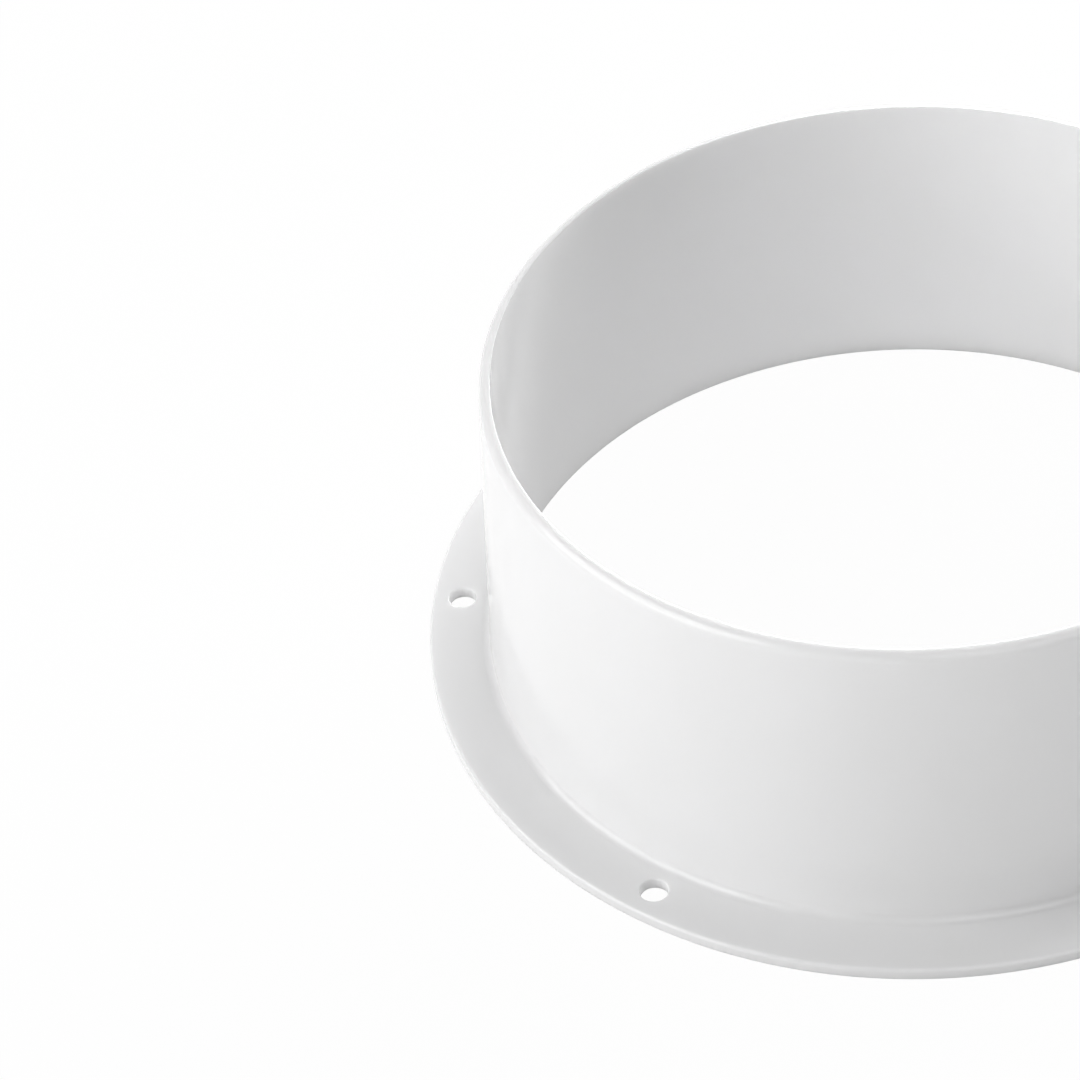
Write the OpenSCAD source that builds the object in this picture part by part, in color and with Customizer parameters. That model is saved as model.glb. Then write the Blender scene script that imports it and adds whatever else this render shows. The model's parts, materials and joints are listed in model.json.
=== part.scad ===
// Duct wall flange: a tapered round collar standing on a flat screw-on ring, moulded in one piece.
// The wall face of the ring lies on z = 0, the collar's axis is Z, and one screw hole lies on +X.

/* [Collar] */
// Outside diameter of the collar at its free rim
rim_d = 147; // [80:0.5:320]
// How much wider the collar is where it meets the ring
collar_flare = 6; // [0:0.5:14]
// Height of the rim above the wall face
collar_h = 61; // [25:0.5:150]
// Thickness of the collar's wall, measured square to the axis
wall_t = 2; // [1.2:0.1:4]

/* [Ring] */
// Width of the flat ring outside the collar
ring_w = 11; // [9:0.5:40]
// Thickness of the ring
ring_t = 2.2; // [1.2:0.1:6]

/* [Screw holes] */
// Number of screw holes
hole_count = 6; // [3:1:12]
// Diameter of each screw hole
hole_d = 5; // [3:0.1:6]

/* [Edges] */
// Radius of the round on the rim's outer edge
rim_round = 1.8; // [0.4:0.1:1.8]
// Radius of the fillet between the collar and the ring
base_fillet = 1.6; // [0.4:0.1:1.8]
// Radius of the round on the ring's upper outer edge
ring_round = 0.6; // [0.2:0.1:1]

/* [Hidden] */
$fn = 180;

// Straight pieces in each rounded edge of the section
blend_steps = 12;
// Flat land that the rim keeps beside its round, however thin the wall
rim_land = 0.1;
// The screw holes are cut past both faces of the ring by this much
overcut = 1;

rim_round_fit = min(rim_round, wall_t - rim_land);
ring_round_fit = min(ring_round, ring_t / 2);

rim_r = rim_d / 2;
base_r = rim_r + collar_flare / 2;
ring_r = base_r + ring_w;

// The holes lie on the middle of the flat that the fillet leaves
hole_circle_r = (base_r + ring_r) / 2;

// How far the collar's wall leans outwards for each millimetre downwards
lean = (base_r - rim_r) / (collar_h - ring_t);

// Corners of the section before rounding, each as [distance from the axis, height]
ring_corner = [ring_r, ring_t];
base_corner = [base_r, ring_t];
rim_corner = [rim_r, collar_h];

// Directions of the section's edges
outwards = [1, 0];
downwards = [0, -1];
up_the_collar = rim_corner - base_corner;

// Radius of the bore at a height above the wall face
function bore_r(z) = rim_r - wall_t + lean * (collar_h - z);

function unit(v) = v / norm(v);

function turned(p, angle) = [
    p.x * cos(angle) - p.y * sin(angle),
    p.x * sin(angle) + p.y * cos(angle)
];

// Arc of radius r that touches both edges of a corner, from edge a round to edge b.
// The edges are given as directions that lead away from the corner.
function blend(corner, a, b, r) =
    let (
        half = acos(unit(a) * unit(b)) / 2,
        centre = corner + unit(unit(a) + unit(b)) * r / sin(half),
        start = corner + unit(a) * r / tan(half) - centre,
        sweep = -sign(cross(a, b)) * (180 - 2 * half)
    )
    [for (i = [0:blend_steps]) centre + turned(start, sweep * i / blend_steps)];

// Section of the whole part on one side of its axis
module flange_section() {
    polygon(concat(
        [[bore_r(0), 0], [ring_r, 0]],
        blend(ring_corner, downwards, -outwards, ring_round_fit),
        blend(base_corner, outwards, up_the_collar, base_fillet),
        blend(rim_corner, -up_the_collar, -outwards, rim_round_fit),
        [[bore_r(collar_h), collar_h]]
    ));
}

module screw_holes() {
    for (i = [0:hole_count - 1])
        rotate(i * 360 / hole_count)
            translate([hole_circle_r, 0, -overcut])
                cylinder(d = hole_d, h = ring_t + 2 * overcut);
}

module wall_flange() {
    color("white")
        difference() {
            rotate_extrude() flange_section();
            screw_holes();
        }
}

wall_flange();
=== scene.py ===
import json
import math

import bpy
from mathutils import Matrix, Vector


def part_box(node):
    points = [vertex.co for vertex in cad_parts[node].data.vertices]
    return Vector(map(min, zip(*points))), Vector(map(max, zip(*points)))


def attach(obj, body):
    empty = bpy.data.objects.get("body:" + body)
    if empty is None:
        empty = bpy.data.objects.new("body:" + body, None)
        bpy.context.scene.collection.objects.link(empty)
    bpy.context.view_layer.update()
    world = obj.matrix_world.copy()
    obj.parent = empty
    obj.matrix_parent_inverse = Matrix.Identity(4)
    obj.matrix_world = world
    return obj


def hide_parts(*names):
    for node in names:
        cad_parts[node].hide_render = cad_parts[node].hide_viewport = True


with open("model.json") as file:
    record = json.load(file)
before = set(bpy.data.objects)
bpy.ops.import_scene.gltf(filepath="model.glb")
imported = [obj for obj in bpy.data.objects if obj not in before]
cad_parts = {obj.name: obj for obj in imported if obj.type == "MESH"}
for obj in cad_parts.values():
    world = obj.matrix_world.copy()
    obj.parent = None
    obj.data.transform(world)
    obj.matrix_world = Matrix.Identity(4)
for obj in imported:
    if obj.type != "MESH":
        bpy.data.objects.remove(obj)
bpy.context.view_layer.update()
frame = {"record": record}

mm = 0.001


# camera, as found from the round outlines in the photograph

cameraSettings = {
    "azimuth": 2.15,  # degrees round the duct's axis, 0 looks along +Y
    "elevation": 43.91,
    "distance": 689 * mm,  # from the middle of the wall face
    "pan": 5.588,  # how far the view turns away from that middle
    "tilt": -1.170,
    "roll": -0.663,
    "lens": 125.3,
    "sensor": 36.0,
}


def makeCamera(settings):
    azimuth = math.radians(settings["azimuth"])
    elevation = math.radians(settings["elevation"])
    back = Vector((
        math.sin(azimuth) * math.cos(elevation),
        -math.cos(azimuth) * math.cos(elevation),
        math.sin(elevation),
    ))
    aim = (-back).to_track_quat("-Z", "Y").to_matrix()
    turn = (
        Matrix.Rotation(math.radians(settings["pan"]), 3, "Y")
        @ Matrix.Rotation(-math.radians(settings["tilt"]), 3, "X")
        @ Matrix.Rotation(math.radians(settings["roll"]), 3, "Z")
    )
    place = Matrix.Translation(back * settings["distance"])
    bpy.ops.object.camera_add()
    camera = bpy.context.object
    camera.name = "camera"
    camera.matrix_world = place @ (aim @ turn).to_4x4()
    camera.data.lens = settings["lens"]
    camera.data.sensor_width = settings["sensor"]
    camera.data.clip_start = 0.01
    camera.data.clip_end = 20
    bpy.context.scene.camera = camera


makeCamera(cameraSettings)
print("camera placed")


# wall flange, one moulding turned round the duct's axis

boxLow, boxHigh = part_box("wall_flange")
holeDims = next(m["dims"] for m in frame["record"]["mounts"] if m["name"] == "screw_holes")

flangeSettings = {
    "ringRadius": round((boxHigh.x - boxLow.x) / 2, 4),
    "ringThickness": 2.2 * mm,
    "baseRadius": 76.5 * mm,
    "rimRadius": 73.5 * mm,
    "rimHeight": boxHigh.z,
    "wall": 2.0 * mm,
    "steps": 384,  # facets round the axis
    "rimRound": (1.8 * mm, 12),  # radius and segments
    "baseFillet": (1.6 * mm, 10),
    "ringRound": (0.6 * mm, 6),
    "crispEdge": (0.12 * mm, 2),  # what the mould leaves on the edges that look sharp
    "flash": (  # nibs of moulding flash on the rim's inner edge: angle, span in degrees, reach
        (231.1, 1.0, 0.20 * mm),
        (246.3, 3.0, 0.12 * mm),
        (245.2, 1.0, 0.10 * mm),
        (247.4, 1.0, 0.10 * mm),
    ),
    "holeCount": holeDims["count"],
    "holeRadius": holeDims["hole_r_mm"] * mm,
    "holeCircle": holeDims["pcd_mm"] / 2 * mm,
    "holeSides": 96,
    "holeEdge": (0.25 * mm, 4),  # round on the upper edge of each hole, radius and segments
    "holeTurn": 80,  # degrees of that round that are cut before it meets the flat
    "smoothAngle": 40,
}


def deselectAll():
    if bpy.context.mode != "OBJECT":
        bpy.ops.object.mode_set(mode="OBJECT")
    bpy.ops.object.select_all(action="DESELECT")


def growRing(fromRadius, toRadius, rise):
    # carries the open loop on to its next radius and height
    bpy.ops.mesh.extrude_region_move(TRANSFORM_OT_translate={"value": (0, 0, rise)})
    scale = toRadius / fromRadius
    bpy.ops.transform.resize(value=(scale, scale, 1), center_override=(0, 0, 0))


def selectLoop(piece, radius, height, slack=0.01 * mm):
    # selects the edges that lie on one circle round the axis
    bpy.ops.mesh.select_all(action="DESELECT")
    bpy.ops.object.mode_set(mode="OBJECT")
    onCircle = [
        abs(math.hypot(v.co.x, v.co.y) - radius) < slack and abs(v.co.z - height) < slack
        for v in piece.data.vertices
    ]
    found = 0
    for edge in piece.data.edges:
        edge.select = all(onCircle[i] for i in edge.vertices)
        found += edge.select
    bpy.ops.object.mode_set(mode="EDIT")
    return found


def roundLoop(piece, radius, height, bevel, corner=90):
    # rounds or fillets one circle of the section; corner is the angle between its two walls
    if selectLoop(piece, radius, height) == 0:
        raise RuntimeError("no edge loop at radius %.4f, height %.4f" % (radius, height))
    reach = bevel[0] / math.tan(math.radians(corner) / 2)
    bpy.ops.mesh.bevel(offset_type="OFFSET", offset=reach, segments=bevel[1], clamp_overlap=False)


def makeFlange(settings):
    s = settings
    height = s["rimHeight"]
    lean = (s["baseRadius"] - s["rimRadius"]) / (height - s["ringThickness"])
    boreAtRim = s["rimRadius"] - s["wall"]
    boreAtWall = boreAtRim + lean * height
    leanAngle = math.degrees(math.atan(lean))

    deselectAll()
    bpy.ops.mesh.primitive_circle_add(vertices=s["steps"], radius=s["ringRadius"], fill_type="NOTHING")
    piece = bpy.context.object
    piece.name = "wallFlange"
    bpy.ops.object.mode_set(mode="EDIT")
    bpy.ops.mesh.select_all(action="SELECT")
    growRing(s["ringRadius"], s["ringRadius"], s["ringThickness"])
    growRing(s["ringRadius"], s["baseRadius"], 0)
    growRing(s["baseRadius"], s["rimRadius"], height - s["ringThickness"])
    growRing(s["rimRadius"], boreAtRim, 0)
    growRing(boreAtRim, boreAtWall, -height)
    growRing(boreAtWall, s["ringRadius"], 0)
    bpy.ops.mesh.select_all(action="SELECT")
    bpy.ops.mesh.remove_doubles(threshold=0.001 * mm)
    bpy.ops.mesh.normals_make_consistent(inside=False)

    roundLoop(piece, s["ringRadius"], s["ringThickness"], s["ringRound"])
    roundLoop(piece, s["baseRadius"], s["ringThickness"], s["baseFillet"], 90 + leanAngle)
    roundLoop(piece, s["rimRadius"], height, s["rimRound"], 90 + leanAngle)
    roundLoop(piece, boreAtRim, height, s["crispEdge"], 90 - leanAngle)
    roundLoop(piece, boreAtWall, 0, s["crispEdge"], 90 + leanAngle)
    roundLoop(piece, s["ringRadius"], 0, s["crispEdge"])
    bpy.ops.object.mode_set(mode="OBJECT")
    return piece


def growFlash(piece, settings, angle, span, reach):
    # pulls a short stretch of the rim's inner edge towards the axis
    s = settings
    rimBore = s["rimRadius"] - s["wall"]
    middle, half = math.radians(angle), math.radians(span) / 2
    edge = s["crispEdge"][0]
    deselectAll()
    bpy.context.view_layer.objects.active = piece
    piece.select_set(True)
    bpy.ops.object.mode_set(mode="EDIT")
    bpy.ops.mesh.select_mode(type="FACE")
    bpy.ops.mesh.select_all(action="DESELECT")
    bpy.ops.object.mode_set(mode="OBJECT")
    for face in piece.data.polygons:
        x, y, z = face.center
        away = (math.atan2(y, x) - middle + math.pi) % (2 * math.pi) - math.pi
        inward = -(face.normal.x * x + face.normal.y * y) / math.hypot(x, y)
        onEdge = z > s["rimHeight"] - edge and math.hypot(x, y) < rimBore + edge
        face.select = onEdge and abs(away) < half and inward > 0.1
    bpy.ops.object.mode_set(mode="EDIT")
    bpy.ops.mesh.extrude_region_move()
    scale = 1 - reach / rimBore
    bpy.ops.transform.resize(value=(scale, scale, 1), center_override=(0, 0, 0))
    bpy.ops.mesh.select_mode(type="EDGE")
    bpy.ops.object.mode_set(mode="OBJECT")


def makeHoleCutter(settings):
    # one pin that flares at its top, so that it leaves a rounded edge, copied round the hole circle
    s = settings
    top = s["ringThickness"]
    edge, segments = s["holeEdge"]
    reach, level = s["holeRadius"], -top
    deselectAll()
    bpy.ops.mesh.primitive_circle_add(
        vertices=s["holeSides"], radius=reach, fill_type="NGON", location=(0, 0, level)
    )
    cutter = bpy.context.object
    bpy.ops.object.transform_apply(location=True, rotation=True, scale=True)
    bpy.ops.object.mode_set(mode="EDIT")
    bpy.ops.mesh.select_all(action="SELECT")
    for i in range(segments + 1):
        turn = math.radians(s["holeTurn"]) * i / segments
        nextReach = s["holeRadius"] + edge * (1 - math.cos(turn))
        nextLevel = top - edge * (1 - math.sin(turn))
        growRing(reach, nextReach, nextLevel - level)
        reach, level = nextReach, nextLevel
    growRing(reach, reach + edge / 2 * math.sin(turn), edge / 2 * math.cos(turn))
    bpy.ops.mesh.select_all(action="SELECT")
    bpy.ops.mesh.normals_make_consistent(inside=False)

    bpy.ops.transform.translate(value=(s["holeCircle"], 0, 0))
    for i in range(s["holeCount"] - 1):
        bpy.ops.mesh.duplicate()
        bpy.ops.transform.rotate(
            value=math.radians(360 / s["holeCount"]), orient_axis="Z", center_override=(0, 0, 0)
        )
    bpy.ops.object.mode_set(mode="OBJECT")
    return cutter


def cutHoles(piece, settings):
    cutter = makeHoleCutter(settings)
    cut = piece.modifiers.new("screwHoles", "BOOLEAN")
    cut.operation = "DIFFERENCE"
    cut.solver = "EXACT"
    cut.object = cutter
    deselectAll()
    bpy.context.view_layer.objects.active = piece
    piece.select_set(True)
    bpy.ops.object.modifier_apply(modifier=cut.name)
    bpy.data.objects.remove(cutter)


def smoothPiece(piece, angle):
    deselectAll()
    bpy.context.view_layer.objects.active = piece
    piece.select_set(True)
    bpy.ops.object.shade_smooth_by_angle(angle=math.radians(angle))
    weighted = piece.modifiers.new("weightedNormals", "WEIGHTED_NORMAL")
    weighted.keep_sharp = True
    weighted.weight = 60
    bpy.ops.object.modifier_apply(modifier=weighted.name)


wallFlange = makeFlange(flangeSettings)
for nib in flangeSettings["flash"]:
    growFlash(wallFlange, flangeSettings, *nib)
cutHoles(wallFlange, flangeSettings)
smoothPiece(wallFlange, flangeSettings["smoothAngle"])
print("flange modelled,", len(wallFlange.data.polygons), "faces")


# glossy white plastic that lets a little light through

plasticSettings = {
    "colour": (0.88, 0.88, 0.885, 1),
    "shade": (0.86, 0.86, 0.86, 1),  # where the pigment lies a little thinner
    "mottle": 45,  # cloudiness of the pigment, per metre
    "speckColour": (0.45, 0.43, 0.41, 1),
    "speckCells": 90,  # one grain of dust at most in each cell, cells per metre
    "speckShare": 0.035,  # share of the cells that hold one
    "speckSize": 0.022,  # in cells
    "roughness": (0.10, 0.16),
    "ripple": 260,  # shallow waves that cooling leaves, per metre
    "rippleDepth": 0.004 * mm,
    "grain": 2600,  # fine texture of the mould
    "grainDepth": 0.0006 * mm,
    "lightReach": 1.5 * mm,
}


def addNoise(nodes, links, place, scale, detail):
    noise = nodes.new("ShaderNodeTexNoise")
    noise.inputs["Scale"].default_value = scale
    noise.inputs["Detail"].default_value = detail
    links.new(place, noise.inputs["Vector"])
    return noise.outputs["Fac"]


def addRange(nodes, links, value, fromRange, toRange):
    mapped = nodes.new("ShaderNodeMapRange")
    mapped.inputs["From Min"].default_value = fromRange[0]
    mapped.inputs["From Max"].default_value = fromRange[1]
    mapped.inputs["To Min"].default_value = toRange[0]
    mapped.inputs["To Max"].default_value = toRange[1]
    links.new(value, mapped.inputs["Value"])
    return mapped.outputs["Result"]


def addMix(nodes, links, share, first, second):
    # first is a colour or a socket, second a colour
    mix = nodes.new("ShaderNodeMix")
    mix.data_type = "RGBA"
    links.new(share, mix.inputs["Factor"])
    if hasattr(first, "links"):
        links.new(first, mix.inputs["A"])
    else:
        mix.inputs["A"].default_value = first
    mix.inputs["B"].default_value = second
    return mix.outputs["Result"]


def addSpecks(nodes, links, place, settings):
    # 1 on the few grains of dust caught in the plastic, 0 elsewhere
    cells = nodes.new("ShaderNodeTexVoronoi")
    cells.inputs["Scale"].default_value = settings["speckCells"]
    links.new(place, cells.inputs["Vector"])
    size = settings["speckSize"]
    near = addRange(nodes, links, cells.outputs["Distance"], (size, size * 1.6), (1, 0))
    pick = nodes.new("ShaderNodeSeparateColor")
    links.new(cells.outputs["Color"], pick.inputs["Color"])
    chosen = nodes.new("ShaderNodeMath")
    chosen.operation = "LESS_THAN"
    chosen.inputs[1].default_value = settings["speckShare"]
    links.new(pick.outputs["Red"], chosen.inputs[0])
    both = nodes.new("ShaderNodeMath")
    both.operation = "MULTIPLY"
    links.new(near, both.inputs[0])
    links.new(chosen.outputs["Value"], both.inputs[1])
    return both.outputs["Value"]


def addBump(nodes, links, height, depth, under=None):
    bump = nodes.new("ShaderNodeBump")
    bump.inputs["Strength"].default_value = 1
    bump.inputs["Distance"].default_value = depth
    links.new(height, bump.inputs["Height"])
    if under:
        links.new(under, bump.inputs["Normal"])
    return bump.outputs["Normal"]


def makePlastic(settings):
    s = settings
    material = bpy.data.materials.new("whitePlastic")
    material.use_nodes = True
    nodes = material.node_tree.nodes
    links = material.node_tree.links
    shader = nodes["Principled BSDF"]
    shader.inputs["Subsurface Weight"].default_value = 1
    shader.inputs["Subsurface Radius"].default_value = (1, 1, 1)
    shader.inputs["Subsurface Scale"].default_value = s["lightReach"]
    place = nodes.new("ShaderNodeTexCoord").outputs["Object"]

    mottle = addNoise(nodes, links, place, s["mottle"], 2)
    colour = addMix(nodes, links, mottle, s["colour"], s["shade"])
    specks = addSpecks(nodes, links, place, s)
    colour = addMix(nodes, links, specks, colour, s["speckColour"])
    links.new(colour, shader.inputs["Base Color"])

    ripple = addNoise(nodes, links, place, s["ripple"], 1)
    roughness = addRange(nodes, links, mottle, (0.3, 0.7), s["roughness"])
    links.new(roughness, shader.inputs["Roughness"])
    grain = addNoise(nodes, links, place, s["grain"], 2)
    waves = addBump(nodes, links, ripple, s["rippleDepth"])
    surface = addBump(nodes, links, grain, s["grainDepth"], waves)
    links.new(surface, shader.inputs["Normal"])
    return material


wallFlange.data.materials.append(makePlastic(plasticSettings))
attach(wallFlange, "root")
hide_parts("wall_flange")
print("plastic made")


# floor, backdrop and lamps

studioSettings = {
    "floorSize": 8.0,
    "floorDrop": 0.1 * mm,
    "floorColour": (0.9, 0.9, 0.9, 1),
    "whiteShare": 0.97,
    "worldLight": 0.1,
}


def makeFloor(settings):
    deselectAll()
    bpy.ops.mesh.primitive_plane_add(size=settings["floorSize"], location=(0, 0, -settings["floorDrop"]))
    floor = bpy.context.object
    floor.name = "floor"
    material = bpy.data.materials.new("paleFloor")
    material.use_nodes = True
    nodes = material.node_tree.nodes
    links = material.node_tree.links
    shader = nodes["Principled BSDF"]
    shader.inputs["Base Color"].default_value = settings["floorColour"]
    shader.inputs["Roughness"].default_value = 0.8
    glow = nodes.new("ShaderNodeEmission")
    glow.inputs["Strength"].default_value = 1
    path = nodes.new("ShaderNodeLightPath")
    seen = nodes.new("ShaderNodeMath")
    seen.operation = "MAXIMUM"
    links.new(path.outputs["Is Camera Ray"], seen.inputs[0])
    links.new(path.outputs["Is Glossy Ray"], seen.inputs[1])
    share = nodes.new("ShaderNodeMath")
    share.operation = "MULTIPLY"
    share.inputs[1].default_value = settings["whiteShare"]
    links.new(seen.outputs[0], share.inputs[0])
    mix = nodes.new("ShaderNodeMixShader")
    links.new(share.outputs[0], mix.inputs[0])
    links.new(shader.outputs[0], mix.inputs[1])
    links.new(glow.outputs[0], mix.inputs[2])
    clear = nodes.new("ShaderNodeBsdfTransparent")
    side = nodes.new("ShaderNodeNewGeometry")
    oneSided = nodes.new("ShaderNodeMixShader")
    links.new(side.outputs["Backfacing"], oneSided.inputs[0])
    links.new(mix.outputs[0], oneSided.inputs[1])
    links.new(clear.outputs[0], oneSided.inputs[2])
    links.new(oneSided.outputs[0], nodes["Material Output"].inputs["Surface"])
    floor.data.materials.append(material)


def makeWorld(settings):
    world = bpy.data.worlds.new("studio")
    bpy.context.scene.world = world
    world.use_nodes = True
    nodes = world.node_tree.nodes
    links = world.node_tree.links
    lighting = nodes["Background"]
    lighting.inputs["Strength"].default_value = settings["worldLight"]
    lighting.inputs["Color"].default_value = (1, 1, 1, 1)
    backdrop = nodes.new("ShaderNodeBackground")
    backdrop.inputs["Color"].default_value = (1, 1, 1, 1)
    path = nodes.new("ShaderNodeLightPath")
    first = nodes.new("ShaderNodeMath")
    first.operation = "MAXIMUM"
    links.new(path.outputs["Is Camera Ray"], first.inputs[0])
    links.new(path.outputs["Is Glossy Ray"], first.inputs[1])
    seen = nodes.new("ShaderNodeMath")
    seen.operation = "MAXIMUM"
    links.new(first.outputs[0], seen.inputs[0])
    links.new(path.outputs["Is Transmission Ray"], seen.inputs[1])
    mix = nodes.new("ShaderNodeMixShader")
    links.new(seen.outputs[0], mix.inputs[0])
    links.new(lighting.outputs[0], mix.inputs[1])
    links.new(backdrop.outputs[0], mix.inputs[2])
    links.new(mix.outputs[0], nodes["World Output"].inputs["Surface"])


lampSettings = (
    {  # large softbox at the left, which lights the collar's outer wall
        "name": "leftLamp",
        "azimuth": 205,
        "elevation": 28,
        "size": (1.4, 1.0),
        "watts": 12.5,
    },
    {  # large softbox behind the part, which shines through the collar's wall
        "name": "rearLamp",
        "azimuth": 67,
        "elevation": 20,
        "size": (1.4, 0.8),
        "watts": 25,
    },
    {  # fill beside the camera
        "name": "fillLamp",
        "azimuth": 300,
        "elevation": 45,
        "size": (0.8, 0.8),
        "watts": 3,
    },
)
lampDistance = 1.3


def makeLamp(settings):
    # azimuth and elevation, in degrees, say where the lamp stands, seen from the part
    azimuth = math.radians(settings["azimuth"])
    elevation = math.radians(settings["elevation"])
    towards = Vector((
        math.cos(azimuth) * math.cos(elevation),
        math.sin(azimuth) * math.cos(elevation),
        math.sin(elevation),
    ))
    deselectAll()
    bpy.ops.object.light_add(type="AREA", location=towards * lampDistance)
    lamp = bpy.context.object
    lamp.name = settings["name"]
    lamp.data.shape = "RECTANGLE"
    lamp.data.size, lamp.data.size_y = settings["size"]
    lamp.data.energy = settings["watts"]
    lamp.rotation_euler = towards.to_track_quat("Z", "Y").to_euler()


makeFloor(studioSettings)
makeWorld(studioSettings)
for lamp in lampSettings:
    makeLamp(lamp)

scene = bpy.context.scene
scene.view_settings.view_transform = "Standard"
print("studio set")
